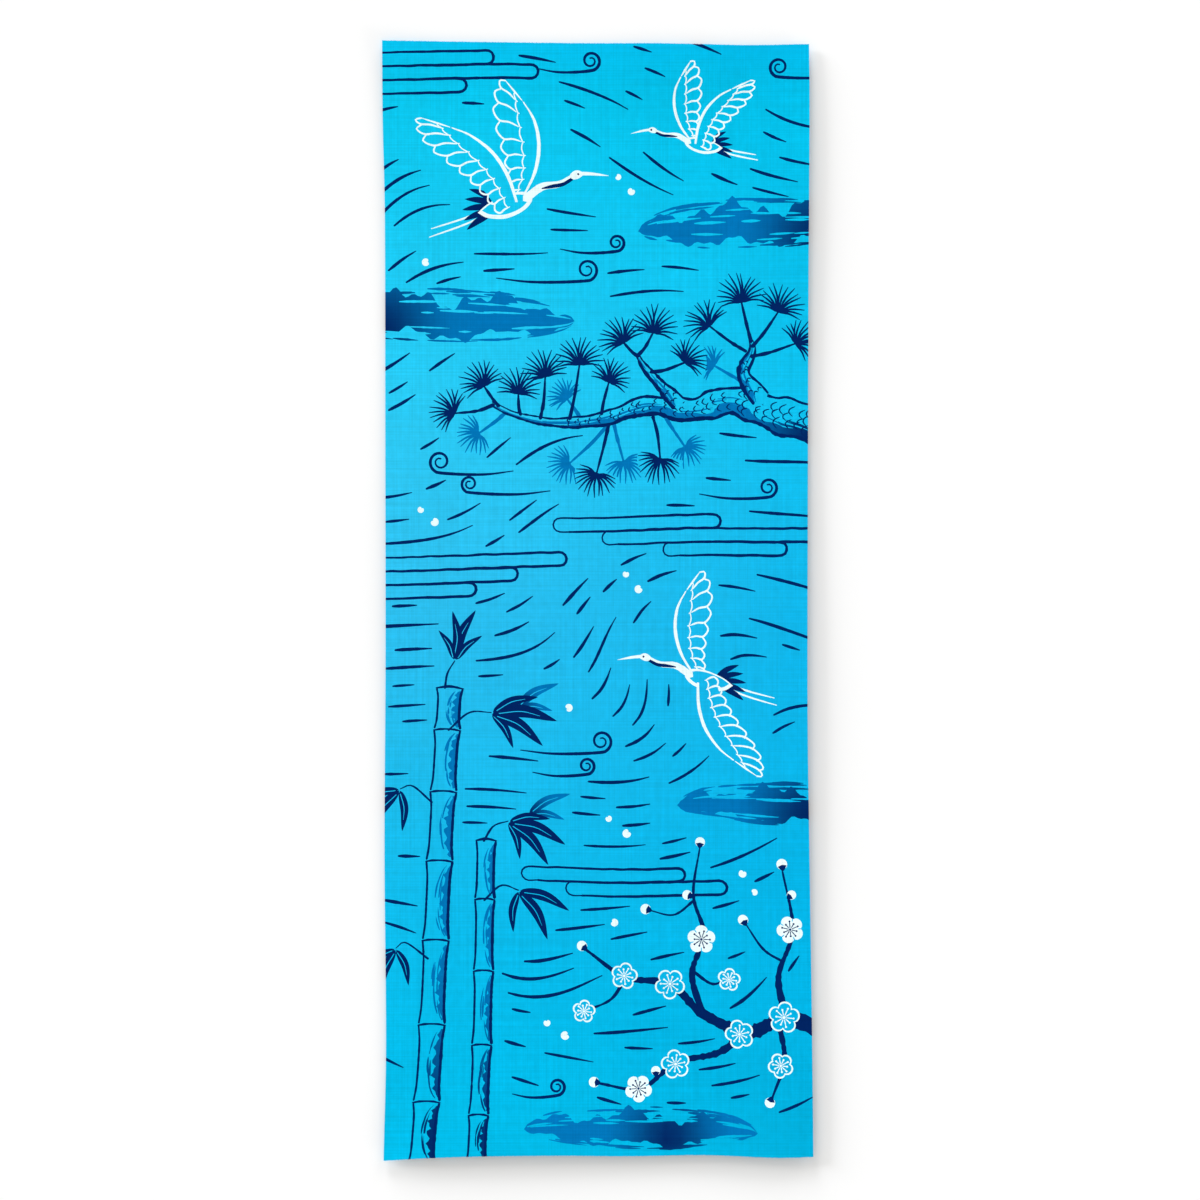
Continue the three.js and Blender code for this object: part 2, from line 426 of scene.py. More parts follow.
def blossom(x, y, size, turn, filled):
    """A plum blossom: a circle drawn in five times by the cosine of its angle, with notches between its
    petals, and ten stamens round an eye. An outlined one is white line on the bare ground."""
    angle = np.linspace(0, 2 * np.pi, 45, endpoint=False)
    lobes = size * (0.70 + 0.30 * np.abs(np.cos(2.5 * (angle - turn))) ** 0.55)
    ring = np.column_stack([np.cos(angle), np.sin(angle)])
    centre = np.array([x, y], float)
    drawing.append((WHITE, centre + ring * lobes[:, None], None))
    ink = NAVY
    if not filled:
        ink = WHITE
        drawing.append((GROUND, centre + ring * (lobes[:, None] - 1.4), None))
    for k in range(10):
        way = toward(math.degrees(turn) + 36 * k + 18)
        far = size * (0.56 if k % 2 else 0.44)
        brush([centre + way * size * 0.14, centre + way * far], 0.8, ink, ends=(0.8, 0.8), step=4.0)
        dot(*(centre + way * (far + 0.5)), 0.85, ink, sides=7)
        if filled and k % 2:
            notch = toward(math.degrees(turn) + 36 * k)
            brush([centre + notch * size * 0.80, centre + notch * size * 0.58], 0.8, GROUND,
                  ends=(1, 0.5), step=4.0)
    dot(x, y, size * 0.10, ink, sides=8)
    clear.append((x, y, size + 5))


def bud(x, y, size, lean):
    """A plum bud that leans away from its stem: a white ball in a navy cup."""
    centre, way = np.array([x, y], float), toward(lean)
    left = np.array([-way[1], way[0]])
    dot(x, y, size, WHITE, sides=14)
    cup = curve([centre + left * size * 0.85 - way * size * 0.35, centre - way * size * 1.3,
                 centre - left * size * 0.85 - way * size * 0.35], 1.2)
    drawing.append((NAVY, np.vstack([cup, centre - way * size * 0.1]), None))
    clear.append((x, y, size + 4))


def petal(x, y, size, turn):
    """A loose petal: an oval with a notch in its wide end."""
    angle = np.linspace(-np.pi, np.pi, 18, endpoint=False)
    radius = size * (1 - 0.40 * np.exp(-(angle / 0.34) ** 2)) * (1 - 0.28 * np.sin(angle / 2) ** 2)
    shape = np.column_stack([radius * np.cos(angle), radius * np.sin(angle)])
    drawing.append((WHITE, [x, y] + shape @ [toward(turn), toward(turn + 90)], None))
    clear.append((x, y, size + 3))


for points, widths in [
    ([(190, -352), (152, -338), (120, -350), (84, -336), (58, -312), (22, -306), (-10, -284)],
     [15, 12, 10, 8, 6, 4, 2.2]),
    ([(120, -350), (96, -368), (62, -376), (34, -396), (0, -392)], [6, 5.5, 4.5, 3, 1.8]),
    ([(84, -336), (76, -304), (86, -272), (78, -240), (84, -200)], [6, 4.6, 3.4, 2.4, 1.2]),
    ([(152, -338), (146, -304), (158, -266), (150, -216)], [6, 4.4, 3, 1.2]),
    ([(22, -306), (10, -324), (-12, -334)], [3.4, 2.4, 1.2]),
    ([(79, -244), (62, -256), (42, -252)], [2.4, 1.8, 1.0]),
    ([(77, -302), (92, -312), (104, -308)], [3.0, 2.2, 1.4]),
    ([(150, -292), (134, -282), (120, -262)], [2.6, 2.0, 1.0]),
    ([(146, -342), (150, -372), (140, -402)], [5, 3.6, 1.6]),
]:
    branch(points, widths)
for x, y, size, turn, filled in [
    (84, -276, 11.5, 0.3, True), (58, -312, 12.5, 0.9, False), (21, -305, 11, 0.1, False),
    (62, -377, 12, 0.5, False), (150, -337, 13, 0.2, False), (156, -266, 11, 0.7, True),
    (32, -396, 11, 1.0, True), (114, -352, 12, 0.6, False), (-12, -334, 9.5, 0.2, False),
    (147, -376, 10.5, 0.8, False), (106, -308, 9.5, 0.2, False),
]:
    blossom(x, y, size, turn, filled)
for x, y, size, lean in [
    (-13, -281, 4.2, 140), (84, -197, 4.0, 85), (73, -240, 4.0, 160), (150, -213, 4.4, 100),
    (-4, -391, 4.2, 175), (39, -251, 4.2, 165), (118, -259, 4.2, 120), (138, -406, 4.2, 250),
    (157.5, -238, 3.8, 40), (46, -382, 3.8, 90),
]:
    bud(x, y, size, lean)
for x, y, size, turn in [
    (-28, -354, 4.0, 20), (-42, -344, 3.2, 100), (14, -262, 3.6, 160), (24, -190, 4.0, 40),
    (10, -178, 3.0, 120), (118, -222, 3.6, 70), (128, -236, 3.0, 200), (-22, -88, 3.6, 200),
    (34, 8, 3.8, 30), (24, 20, 3.0, 80), (-132, 62, 3.8, 140), (-144, 72, 3.0, 60),
    (28, 330, 3.4, 60), (18, 342, 2.8, 150), (-140, 272, 3.6, 10),
]:
    petal(x, y, size, turn)


# ---------------------------------------------------------------------------------------------
# The cranes. Three fly across in white line on the bare ground, neck and legs stretched out, with
# layered feathers on their wings. Their tails and throats are navy.

def crane(x, y, scale, turn, mirror=1, low=False):
    """A crane drawn at its own size and then scaled, mirrored, turned and moved into place. Its near
    wing is raised, or lowered where low is true."""
    flip = np.array([1, -1 if low else 1])

    def put(points):
        """Points of the crane's own drawing, moved to their places on the cloth."""
        return np.array(points, float) * scale * [mirror, 1] @ [toward(turn), toward(turn + 90)] + [x, y]

    def stroke(points, width, dye=WHITE, **shape):
        """A brush stroke of the crane's."""
        brush(put(points), width, dye, **shape)

    def wing(spine, longs, angles, rows, flip):
        """Feathers set evenly along a curved spine, each ending in a rounded tip, under a white leading
        edge. Rows of small coverts cross them at those shares of their length."""
        way = curve(np.array(spine, float) * flip, 1.0)
        share = np.linspace(0, 1, len(longs))
        at = share * (len(way) - 1)
        base = np.column_stack([np.interp(at, np.arange(len(way)), way[:, k]) for k in (0, 1)])
        aim = np.interp(share, np.linspace(0, 1, len(angles)), angles)
        away = np.array([toward(a) for a in aim]) * flip
        long = np.array(longs, float)[:, None]
        tip = base + away * long
        drawing.append((GROUND, put(np.vstack([way, tip[::-1]])), None))
        for i in range(len(tip) - 1):
            reach = (long[i] + long[i + 1]) / 2
            end = (base[i] + base[i + 1]) / 2 + (away[i] + away[i + 1]) / 2 * reach * 1.13
            side = np.array([-away[i][1], away[i][0]]) * reach * -0.04
            shaft = away[i] * long[i]
            stroke([base[i] + shaft * 0.5, base[i] + shaft * 0.75 + side, tip[i] + side * 0.4,
                    end, tip[i + 1] * 0.97 + base[i + 1] * 0.03], 1.5,
                   ends=(0.5, 0.8), rough=0.05, step=1.8, full=0.3)
        stroke([base[-1] + away[-1] * 2, tip[-1]], 1.4)
        for part in rows:
            row = base + away * long * part
            for i in range(len(row) - 1):
                end = (row[i] + row[i + 1]) / 2 + (away[i] + away[i + 1]) * 1.5
                stroke([row[i], row[i] + away[i] * 1.4, end, row[i + 1] + away[i + 1] * 1.2, row[i + 1]], 1.0,
                       ends=(0.7, 0.7), rough=0.04, step=1.6)
        lead = base + away * np.minimum(long * 0.08, 2.0)
        drawing.append((WHITE, put(np.vstack([way, lead[::-1]])), None))
        stroke(np.array(spine, float) * flip, 1.9, ends=(0.8, 0.5))

    wing([(12, 6), (27, 26), (35, 48), (35, 70), (28, 88)], [14, 17, 20, 24, 28, 32, 36, 37, 33, 25],
         [190, 182, 168, 146, 120], [0.42], np.array([1, 1]))
    for points in ([(-18, -2), (-42, -9), (-76, -15)], [(-20, 1), (-44, -4), (-73, -8)]):
        stroke(points, 1.4, ends=(0.9, 0.5))
    for k, angle in enumerate((146, 160, 174, 188, 202)):
        root = np.array([-12 - 1.5 * k, 6 - 2.6 * k])
        plume = [root, root + toward(angle) * 14 + [0, 1.5], root + toward(angle) * (28 - abs(k - 2))]
        blade(put(plume), 5.4 * scale, NAVY, 0.45)
    back = curve([(20, 8), (10, 11), (-4, 10), (-20, 5), (-30, -1)])
    belly = curve([(-30, -1), (-22, -7), (-6, -10), (10, -6), (19, 1), (20, 8)])
    drawing.append((WHITE, put(np.vstack([back, belly[1:-1]])), None))
    drawing.append((GROUND, put(np.vstack([back, belly[1:-1]]) * [0.84, 0.74] + [-0.8, 0.9]), None))
    stroke([(14, 4), (30, 12), (46, 12), (60, 17)], 7.0 * scale, ends=(1.0, 0.58), rough=0.03, full=0.1)
    stroke([(30, 10.6), (40, 11), (49, 11.2), (58, 14.6)], 3.4 * scale, NAVY, ends=(0.3, 0.8), rough=0.03)
    head = curve([(57, 19), (62, 21.4), (67, 19.8), (68, 16.4), (62.5, 13.8), (57.5, 14.6), (57, 19)])
    drawing.append((WHITE, put(head[:-1]), None))
    stroke([(66, 18), (76, 16), (90, 12)], 3.0 * scale, ends=(0.9, 0.12), rough=0.02, full=0.1)
    dot(*put([64, 17.8]), 0.9, NAVY, sides=7)
    wing([(6, 3), (3, 26), (-6, 48), (-22, 66), (-38, 76)], [18, 21, 24, 27, 30, 34, 38, 41, 41, 37, 29],
         [206, 198, 188, 174, 153], [0.44], flip)
    # Discs that keep the wind lines off the body, legs and neck, and off both wings: x, y and radius.
    body = [(0, 0, 30), (-30, -4, 20), (-58, -10, 18), (30, 12, 18), (52, 14, 18), (78, 16, 18)]
    far_wing = [(24, 30, 24), (22, 52, 30), (20, 76, 30), (22, 98, 20)]
    near_wing = [(-14, 30, 30), (-30, 46, 32), (-50, 64, 30), (-62, 82, 22)]
    for px, py, radius in body + far_wing + [(px, py * flip[1], radius) for px, py, radius in near_wing]:
        clear.append((*put([px, py]), radius * scale))


crane(-70, 318, 0.92, 10)
crane(84, 368, 0.62, -2, mirror=-1)
crane(88, -66, 0.80, -6, mirror=-1, low=True)


# ---------------------------------------------------------------------------------------------
# The scrolls that stand for eddies of the air. Each is one navy stroke that runs level and then winds
# up into a small spiral.

def scroll(x, y, size, side, tail):
    """A stroke whose tail runs level and then turns three half-circles and more, its radius shrinking
    evenly with the angle. It winds up to the right where side is 1."""
    angle = np.linspace(-0.5 * np.pi, 2.6 * np.pi, 17)
    radius = size * (1 - 0.72 * (angle + 0.5 * np.pi) / (3.1 * np.pi))
    spiral = np.column_stack([x + side * radius * np.cos(angle), y + size + radius * np.sin(angle)])
    level = np.column_stack([x - side * tail * np.array([1.0, 0.66, 0.33]), y + np.array([1.5, -1.2, -1.4])])
    brush(np.vstack([level, spiral]), 2.6, ends=(0.3, 0.5), rough=0.04)
    clear.append((x, y + size, size + 6))
    clear.extend((x - side * reach, y, 6) for reach in np.linspace(0, tail, 9))


for x, y, size, side, tail in [
    (-8, 258, 9, 1, 74), (16, 282, 7, 1, 46), (-128, 102, 9, -1, 60), (-104, 86, 7, -1, 66),
    (140, 84, 8, 1, 56), (4, -124, 9, 1, 66), (-8, -142, 7, 1, 44), (-34, -402, 7, 1, 36),
    (-4, 428, 8, 1, 44), (148, 424, 8, -1, 54),
]:
    scroll(x, y, size, side, tail)


# ---------------------------------------------------------------------------------------------
# The wind. Navy dashes fill the free ground and stream past the pine, the plum and the birds, as a
# brush leaves them: blunt where it lands, thin where it lifts, and no two of a length.

APART = 11.4                  # least distance between two dashes, mm
STRIDE = 2.5                  # step along a dash, mm
SHORTEST, LONGEST = 7, 40     # length of a dash, in steps
THROWS = 12000                # how many dashes are tried
FREE = 0.7                    # share of a dash that has to lie on free ground
MARGIN, BLANK = 40, 10        # how far the map goes past the cloth, and how much of it stays empty, mm

# Where the wind parts: x, y and width.
ISLES = np.array([
    (-64, 330, 80), (86, 384, 56), (60, 168, 84),
    (84, -60, 76), (76, -330, 84), (-120, -300, 70),
])


def stream(place):
    """The unit step along the wind: square to the slope of a height that rises with y, on two slow
    waves, and rises less over each isle, so that the lines part round it."""
    def height(x, y):
        """That height."""
        isle_x, isle_y, wide = ISLES.T[:, :, None]
        over = (y - isle_y) * np.exp(-((x - isle_x) ** 2 + (y - isle_y) ** 2) / (2 * wide**2))
        return y - 50 * np.sin((x + 30) / 104 + y / 150) - 8 * np.sin(x / 40 + y / 58) - 0.8 * over.sum(0)

    x, y = place.T
    here = height(x, y)
    step = np.column_stack([height(x, y + 0.5) - here, here - height(x + 0.5, y)])
    return step / np.linalg.norm(step, axis=1)[:, None]


def wind_lines():
    """Dashes thrown at random and traced downwind, on a map of 1 mm cells. One stays if the ground under
    most of its length is free, without the rest, and the ground round it then counts as taken."""
    draw = np.random.default_rng(7)
    across, along = int(WIDTH) + 2 * MARGIN, int(LENGTH) + 2 * MARGIN
    y, x = np.mgrid[:along, :across] - np.array([along / 2, across / 2])[:, None, None]
    taken = np.zeros((along, across), bool)
    for disc_x, disc_y, radius in clear:
        taken |= (x - disc_x) ** 2 + (y - disc_y) ** 2 < radius**2
    reach = math.ceil(APART)
    stamp = np.argwhere(np.hypot(*np.mgrid[-reach:reach + 1, -reach:reach + 1]) < APART) - reach
    # A dash may start off the cloth, most of all on the left, where the wind comes from.
    low, high = [-WIDTH / 2 - 20, -LENGTH / 2 - 6], [WIDTH / 2 + 4, LENGTH / 2 + 6]
    traces = [draw.uniform(low, high, (THROWS, 2))]
    for _ in range(LONGEST):
        traces.append(traces[-1] + STRIDE * stream(traces[-1]))
    traces = np.stack(traces, axis=1)
    cells = np.round(traces[:, :, ::-1] + [along / 2, across / 2]).astype(int)
    wanted = SHORTEST + (LONGEST - SHORTEST) * draw.random(len(traces)) ** 0.9
    lines = []
    for trace, cell, steps in zip(traces, cells, wanted):
        inside = (cell >= BLANK).all(axis=1) & (cell < [along - BLANK, across - BLANK]).all(axis=1)
        free = inside & ~taken[tuple(np.clip(cell, 0, [along - 1, across - 1]).T)]
        length = min(int(steps), len(free) if free.all() else int(np.argmin(free)))
        if length >= max(FREE * steps, SHORTEST):
            lines.append(trace[:length])
            marked = (cell[:length, None] + stamp).reshape(-1, 2)
            taken[tuple(np.clip(marked, 0, [along - 1, across - 1]).T)] = True
    return lines


# The dashes lie under the rest of the picture, and one that only grazes the cloth's edge is left out.
picture, drawing = drawing, []
for line in wind_lines():
    grazes = (np.abs(line.mean(axis=0)) > [WIDTH / 2 - 3, LENGTH / 2 - 3]).any()
    if grazes:
        continue
    points = line[::4] if len(line) > 12 else line[[0, len(line) // 2, -1]]
    brush(points, rng.uniform(2.35, 2.95), ends=(0.55, 0.3), rough=0.05, step=3.0, full=0.3)
drawing += picture


# ---------------------------------------------------------------------------------------------
# The dyed cloth itself. Chusen dyeing pours the dye through a stack of cloths, so the picture has
# crisp edges and goes right through to the back. The sheet is cut along every edge of the picture,
# each face takes one dye, and both sides of the sheet wear the same picture.

DYES = {GROUND: 0x00B6E9, NAVY: 0x00225E, BLUE: 0x0072B4, WHITE: 0xE8FBFC}
PAINTED_LIT_UPPER = 0x00C2EF                            # the ground above the middle, painted lighter and greener there as painted light
TURNS, FADE = -52, 240                      # where that painted light starts to turn it lighter and greener, and over how many mm
PAINTED_SHADE_RIGHTWARD = np.array([0, 0.049, 0.029])     # how much painted shade darkens its red, green and blue at the right edge
PAINTED_SHADE_ENDS = np.array([0, 0, 0.059])              # how much more painted shade at both ends than at the middle
PAINTED_SHADE_HEAD = np.array([0, 0.065, -0.02])          # and how much more painted shade at the top edge
PAINTED_SHADE_SIDE, PAINTED_SHADE_FOOT = 0.18, 0.30           # how strongly painted shade darkens it inside the right edge and the foot
SHEEN_PALE, SHEEN_STRENGTH = 0.9, 0.031                   # the value a painted sheen pales it to, and by how much at most
SHEEN_AT, SHEEN_SIZE = (-220, 57), (293, 225)     # where that painted sheen lies, and how far it reaches, mm

CELL = 12.0                 # spacing of the sheet's own points, mm
THREAD = 1.15               # spacing of the warp ends that show along a raw cut, mm
FRAY = 0.55                 # how far they stand out at most, mm
CLOTH, UNDER = 0.55, 0.20   # thickness of the sheet, and its gap to the solid's underside, mm
PITCH = 0.00058             # spacing of the weave's threads, m


def raw_edge(seed):
    """A raw cut: every other point is the tip of a warp thread, pulled out by its own small amount."""
    x = np.arange(-WIDTH / 2, WIDTH / 2, THREAD / 2)
    out = np.random.default_rng(seed).uniform(0.1, FRAY, len(x)) * (np.arange(len(x)) % 2)
    out[0] = 0.0
    return x, out


def border():
    """The panel's edge, anticlockwise from the lower left corner: raw cut, selvedge, raw cut, selvedge."""
    x, low = raw_edge(3)
    _, high = raw_edge(4)
    y = np.linspace(-LENGTH / 2, LENGTH / 2, round(LENGTH / CELL) + 1)
    side = np.full(len(y) - 1, WIDTH / 2)
    return np.vstack([
        np.column_stack([x, -LENGTH / 2 - low]),
        np.column_stack([side, y[:-1]]),
        np.column_stack([-x, LENGTH / 2 + high]),
        np.column_stack([-side, -y[:-1]]),
    ])


def wound(places, outline):
    """Which places an outline winds round: its edges that pass them going up, less those going down."""
    (x0, y0), (x1, y1) = outline.T, np.roll(outline, -1, axis=0).T
    x, y = places[:, 0, None], places[:, 1, None]
    left = (x1 - x0) * (y - y0) - (x - x0) * (y1 - y0)
    up = (y0 <= y) & (y1 > y) & (left > 0)
    down = (y0 > y) & (y1 <= y) & (left < 0)
    return up.sum(1) != down.sum(1)


def cut_sheet():
    """The flat panel cut along the picture: its points, its triangles and the shape that dyes each one."""
    rim = border()
    across, along = round(WIDTH / CELL), round(LENGTH / CELL)
    x, y = np.meshgrid(np.linspace(-WIDTH / 2, WIDTH / 2, across + 1)[1:-1],
                       np.linspace(-LENGTH / 2, LENGTH / 2, along + 1)[1:-1])
    loops = [rim] + [outline for _, outline, _ in drawing]
    starts = np.cumsum([0] + [len(loop) for loop in loops])
    edges = np.arange(starts[-1])[:, None] + [0, 1]
    edges[starts[1:] - 1, 1] = starts[:-1]
    points = np.vstack(loops + [np.column_stack([x.ravel(), y.ravel()])])
    points, _, faces, *_ = delaunay_2d_cdt(points.tolist(), edges.tolist(), [], 0, 0.01, False)
    points, faces = np.array([tuple(p) for p in points]), np.array(faces)
    middle = points[faces].mean(axis=1)
    faces, middle = faces[wound(middle, rim)], middle[wound(middle, rim)]
    shape = np.full(len(faces), -1)
    for k, (_, outline, _) in enumerate(drawing):
        low, high = outline.min(axis=0), outline.max(axis=0)
        near = np.flatnonzero(((middle > low) & (middle < high)).all(axis=1))
        shape[near[wound(middle[near], outline)]] = k
    used, faces = np.unique(faces, return_inverse=True)
    return points[used], faces.reshape(-1, 3), shape


def linear(code):
    """A colour written as 0xRRGGBB, in the linear values that light is reckoned in."""
    srgb = np.array([code >> 16, code >> 8 & 255, code & 255]) / 255
    return np.where(srgb < 0.04045, srgb / 12.92, ((srgb + 0.055) / 1.055) ** 2.4)


def soft_step(t):
    """A cubic that rises from 0 to 1 with t, level at both ends."""
    t = np.clip(t, 0, 1)
    return t * t * (3 - 2 * t)


def sky(place):
    """The ground's blue at a place, with painted light and shade in it. Painted light turns it lighter and
    greener in the upper half, and painted shade leaves it bluer about the middle of the length and along the
    top edge. Painted shade darkens it to the right, and in a band inside the right edge and the foot, and a
    painted sheen pales it a little round a place beyond the left edge, as a bell curve."""
    x, y = place[..., 0, None], place[..., 1, None]
    lower, upper = linear(DYES[GROUND]), linear(PAINTED_LIT_UPPER)
    blue = lower + (upper - lower) * soft_step((y - TURNS) / FADE)
    side = np.clip(1 - (WIDTH / 2 - x) / RIGHT_BAND, 0, 1)
    foot = np.clip(1 - (LENGTH / 2 + y) / BOTTOM_BAND, 0, 1)
    head = np.clip(1 - (LENGTH / 2 - y) / TOP_BAND, 0, 1)
    # Painted shade: darker to the right, in bands inside the right edge and the foot, towards both ends and
    # along the top edge.
    deep = 1 - PAINTED_SHADE_RIGHTWARD * x / (WIDTH / 2) - PAINTED_SHADE_SIDE * side * (1 - side) - PAINTED_SHADE_FOOT * foot * (1 - foot)
    deep = deep - PAINTED_SHADE_ENDS * (y / (LENGTH / 2)) ** 2 - PAINTED_SHADE_HEAD * head**2
    # A painted sheen: a bell curve of paler colour round a place beyond the left edge.
    (sheen_x, sheen_y), (wide, tall) = SHEEN_AT, SHEEN_SIZE
    sheen_share = SHEEN_STRENGTH * np.exp(-((x - sheen_x) / wide) ** 2 - ((y - sheen_y) / tall) ** 2)
    return blue * deep * (1 - sheen_share) + SHEEN_PALE * sheen_share


def dyed(flat, faces, shape):
    """The colour of each face's three corners: the print's dyes, and on the bare ground the blue from sky
    with its painted light, shade and sheen. Where navy was poured into the blue, it is deepest at one place
    and fades out round it in a soft step."""
    dye = np.array([GROUND] + [dye for dye, _, _ in drawing])[shape + 1]
    pour = np.array([(0, 0, 0)] + [pour or (0, 0, 0) for _, _, pour in drawing], float)[shape + 1]
    table = np.array([linear(DYES[k]) for k in sorted(DYES)])
    far = np.linalg.norm(flat[faces] - pour[:, None, :2], axis=2)
    deep = soft_step(1 - far / np.maximum(pour[:, None, 2], 1e-6)) * (pour[:, None, 2] > 0)
    ink = table[dye][:, None] * (1 - deep[:, :, None]) + table[NAVY] * deep[:, :, None]
    return np.where((dye == GROUND)[:, None, None], sky(flat[faces]), ink)


flat, faces, shape = cut_sheet()
colour = dyed(flat, faces, shape)
plan = laid_out(flat)
height = lifted(flat)
cad_low, cad_high = (np.array(corner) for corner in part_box("towel_cloth"))
middle = (cad_low + cad_high)[:2] / 2 - (plan.min(axis=0) + plan.max(axis=0)) / 2000
lower = np.column_stack([plan / 1000 + middle, (height + UNDER) / 1000 + cad_low[2]])
upper = lower + [0, 0, CLOTH / 1000]

# The rim's walls join the two sides: a face's side that no other face shares lies on the rim.
count = len(flat)
sides = np.stack([faces, np.roll(faces, -1, axis=1)], axis=2).reshape(-1, 2)
keys = np.sort(sides, axis=1) @ [count, 1]
_, first, times = np.unique(keys, return_index=True, return_counts=True)
rim = first[times == 1]
a, b = sides[rim].T
walls = np.concatenate([np.column_stack([b, a, a + count]), np.column_stack([b, a + count, b + count])])
wall_colour = np.concatenate([colour.reshape(-1, 3)[rim][:, None].repeat(3, axis=1)] * 2)

mesh = bpy.data.meshes.new("dyed_towel")
corners = np.concatenate([faces, faces[:, ::-1] + count, walls])
mesh.from_pydata(np.concatenate([upper, lower]).tolist(), [], corners.tolist())
paint = np.concatenate([colour, colour[:, ::-1], wall_colour]).reshape(-1, 3)
# The corner colours hold the print, and on the bare ground painted light, shade and sheen as well.
dye_and_painted_light_layer = mesh.color_attributes.new("dye", "FLOAT_COLOR", "CORNER")
dye_and_painted_light_layer.data.foreach_set("color", np.column_stack([paint, np.ones(len(paint))]).ravel())
mesh.shade_smooth()
mesh.set_sharp_from_angle(angle=math.radians(50))

# Its map lays the face and the back side by side, and the rim's walls in a band just outside the face.
GAP, BAND = 8, 3            # between the face and the back on the map, and the width of that band, mm
upright = (np.abs(flat[[a, b], 0]) > WIDTH / 2 - 0.01).all(axis=0)
away = BAND * np.sign(flat[a]) * np.where(upright[:, None], [1, 0], [0, 1])
wall_chart = np.concatenate([np.stack([flat[b], flat[a], flat[a] + away], axis=1),
                             np.stack([flat[b], flat[a] + away, flat[b] + away], axis=1)])
chart = np.concatenate([flat[faces], flat[faces[:, ::-1]] + [WIDTH + GAP, 0], wall_chart]).reshape(-1, 2)
chart = (chart + [(WIDTH + GAP) / 2, (LENGTH + GAP) / 2]) / [2 * (WIDTH + GAP), LENGTH + GAP]
chart_layer = mesh.uv_layers.new(name="OFBake")
chart_layer.uv.foreach_set("vector", chart.ravel())

towel = bpy.data.objects.new("dyed_towel", mesh)
bpy.context.collection.objects.link(towel)


def cotton():
    """Plain-woven cotton: each face's dye, uneven along single threads, in a fine over-and-under weave."""
    material = bpy.data.materials.new("dyed_cotton")
    material.use_nodes = True
    nodes, links = material.node_tree.nodes, material.node_tree.links
    shader = nodes["Principled BSDF"]
    shader.inputs["Sheen Weight"].default_value = 0.01
    shader.inputs["Sheen Roughness"].default_value = 0.5
    shader.inputs["Specular IOR Level"].default_value = 0.01
    place = nodes.new("ShaderNodeTexCoord").outputs["Object"]

    def threads(scale, detail, low, high):
        """Noise stretched along the threads, as a factor from low to high."""
        mapping = nodes.new("ShaderNodeMapping")
        mapping.inputs["Scale"].default_value = scale
        noise = nodes.new("ShaderNodeTexNoise")
        noise.inputs["Scale"].default_value = 1.0
        noise.inputs["Detail"].default_value = detail
        span = nodes.new("ShaderNodeMapRange")
        span.inputs["From Min"].default_value = 0.25
        span.inputs["From Max"].default_value = 0.75
        span.inputs["To Min"].default_value = low
        span.inputs["To Max"].default_value = high
        links.new(place, mapping.inputs["Vector"])
        links.new(mapping.outputs["Vector"], noise.inputs["Vector"])
        links.new(noise.outputs["Fac"], span.inputs["Value"])
        return span.outputs["Result"]

    def reckon(operation, *values):
        """One step of arithmetic on numbers or sockets."""
        step = nodes.new("ShaderNodeMath")
        step.operation = operation
        for socket, value in zip(step.inputs, values):
            if isinstance(value, (int, float)):
                socket.default_value = value
            else:
                links.new(value, socket)
        return step.outputs[0]

    # The weave: a weft thread shows where warp and weft counts add up even, and a warp thread elsewhere.
    # Each thread arches over its crossing as a sine does, with softer flanks along its length.
    split = nodes.new("ShaderNodeSeparateXYZ")
    links.new(place, split.inputs[0])
    x, y = (reckon("MULTIPLY", split.outputs[k], 1 / PITCH) for k in (0, 1))
    odd = reckon("PINGPONG", reckon("ADD", reckon("FLOOR", x), reckon("FLOOR", y)), 1)
    arch_x, arch_y = (reckon("ABSOLUTE", reckon("SINE", reckon("MULTIPLY", k, math.pi))) for k in (x, y))
    warp = reckon("MULTIPLY", arch_x, reckon("POWER", arch_y, 0.4))
    weft = reckon("MULTIPLY", arch_y, reckon("POWER", arch_x, 0.4))
    shown_warp = reckon("MULTIPLY", warp, odd)
    shown_weft = reckon("MULTIPLY", weft, reckon("SUBTRACT", 1, odd))
    weave = reckon("ADD", shown_warp, shown_weft)

    # The dye is darker or paler by single threads and in broad and in small patches, and painted shade
    # darkens the pores between the threads.
    slubs = reckon("MULTIPLY", threads((820, 9, 1), 2, 0.93, 1.07), threads((8, 700, 1), 2, 0.92, 1.08))
    broad, small = threads((16, 9, 1), 3, 0.975, 1.025), threads((190, 130, 1), 2, 0.955, 1.045)
    patches = reckon("MULTIPLY", broad, small)
    pore_shade = reckon("ADD", 0.94, reckon("MULTIPLY", weave, 0.08))
    tone = reckon("MULTIPLY", reckon("MULTIPLY", slubs, patches), pore_shade)
    # That colour holds the print, and on the bare ground painted light, shade and sheen.
    dye = nodes.new("ShaderNodeAttribute")
    dye.attribute_name = "dye"
    shaded = nodes.new("ShaderNodeVectorMath")
    shaded.operation = "SCALE"
    links.new(dye.outputs["Color"], shaded.inputs[0])
    links.new(tone, shaded.inputs["Scale"])

    links.new(shaded.outputs[0], shader.inputs["Base Color"])
    links.new(threads((300, 300, 1), 2, 0.80, 0.95), shader.inputs["Roughness"])
    bump = nodes.new("ShaderNodeBump")
    bump.inputs["Strength"].default_value = 0.6
    bump.inputs["Distance"].default_value = 0.0001
    links.new(reckon("ADD", weave, reckon("MULTIPLY", slubs, 1.5)), bump.inputs["Height"])
    links.new(bump.outputs[0], shader.inputs["Normal"])
    return material


mesh.materials.append(cotton())
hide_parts("towel_cloth")
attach(towel, "root")


# ---------------------------------------------------------------------------------------------
# The table, the light and the camera. The towel lies on a plain white table under soft daylight from
# the upper left, and the camera looks straight down on it from above its middle.

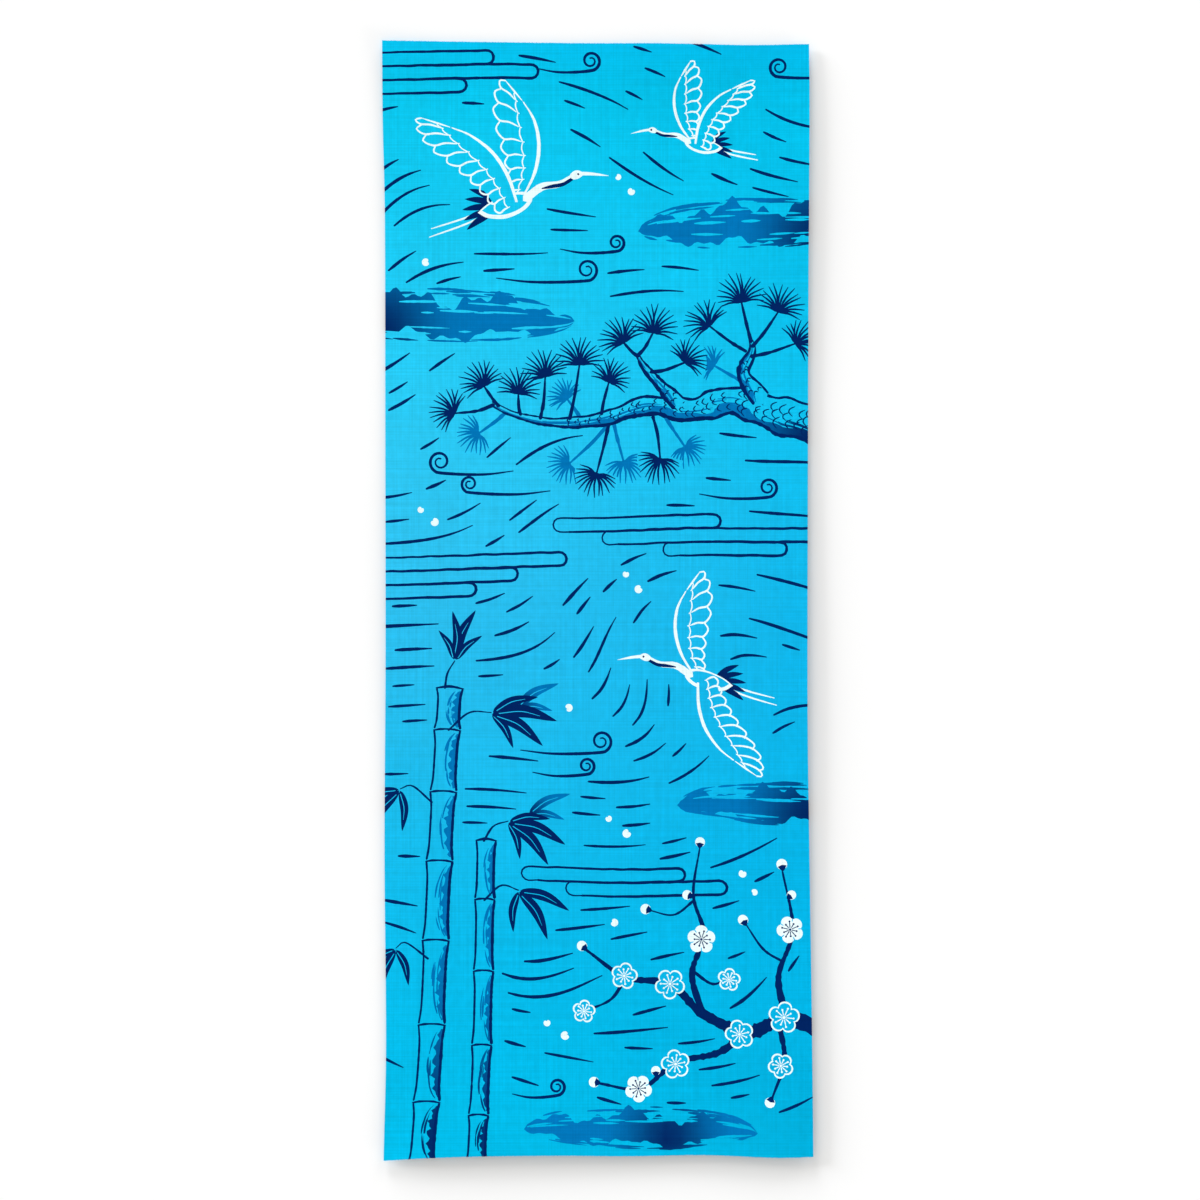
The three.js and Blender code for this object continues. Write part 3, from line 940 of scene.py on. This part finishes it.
TABLE = 40.0                        # side of the table, m
ROOM = (1.0, 0.985, 0.955, 1)       # colour of the light that the walls give back, and its strength
ROOM_STRENGTH = 0.640
SEEN = 0.9731                       # how much of the table the frame takes in, m
ABOVE = 2.3                         # height of the camera, m
AIM = (0.0019, 0.0004)              # the place on the table that it looks down on, m

floor_mesh = bpy.data.meshes.new("table")
half = TABLE / 2
table_corners = [(-half, -half, 0), (half, -half, 0), (half, half, 0), (-half, half, 0)]
floor_mesh.from_pydata(table_corners, [], [(0, 1, 2, 3)])
table = bpy.data.objects.new("table", floor_mesh)
bpy.context.collection.objects.link(table)
white = bpy.data.materials.new("white_table")
white.use_nodes = True
finish = white.node_tree.nodes["Principled BSDF"].inputs
finish["Base Color"].default_value = (0.93, 0.93, 0.93, 1)
finish["Roughness"].default_value = 0.9
finish["Specular IOR Level"].default_value = 0.1
floor_mesh.materials.append(white)

# Each light: its strength in W/m2, how wide it looks, its height above the table and its bearing,
# anticlockwise from the right, all three in degrees, and its colour.
for name, strength, wide, height, bearing, colour in [
    ("left_window", 2.95, 18.4, 12.1, 153, (0.97, 1.0, 1.04)),
    ("top_window", 2.45, 18.9, 10.6, 104, (0.97, 1.0, 1.04)),
    ("ceiling", 0.88, 18.9, 12.9, 61, (1.0, 1.0, 1.04)),
    ("fill", 1.05, 17, 9.7, -37, (1.0, 0.99, 0.97)),
]:
    lamp = bpy.data.lights.new(name, "SUN")
    lamp.energy = strength
    lamp.angle = math.radians(wide)
    lamp.color = colour
    light = bpy.data.objects.new(name, lamp)
    light.rotation_euler = (math.radians(90 - height), 0, math.radians(bearing + 90))
    bpy.context.collection.objects.link(light)
world = bpy.data.worlds.new("room")
world.use_nodes = True
world.node_tree.nodes["Background"].inputs["Color"].default_value = ROOM
world.node_tree.nodes["Background"].inputs["Strength"].default_value = ROOM_STRENGTH
bpy.context.scene.world = world
bpy.context.scene.view_settings.view_transform = "Standard"

camera_data = bpy.data.cameras.new("camera")
camera_data.sensor_width = 36
camera_data.lens = camera_data.sensor_width * ABOVE / SEEN
camera = bpy.data.objects.new("camera", camera_data)
camera.location = (*AIM, ABOVE)
bpy.context.collection.objects.link(camera)
bpy.context.scene.camera = camera
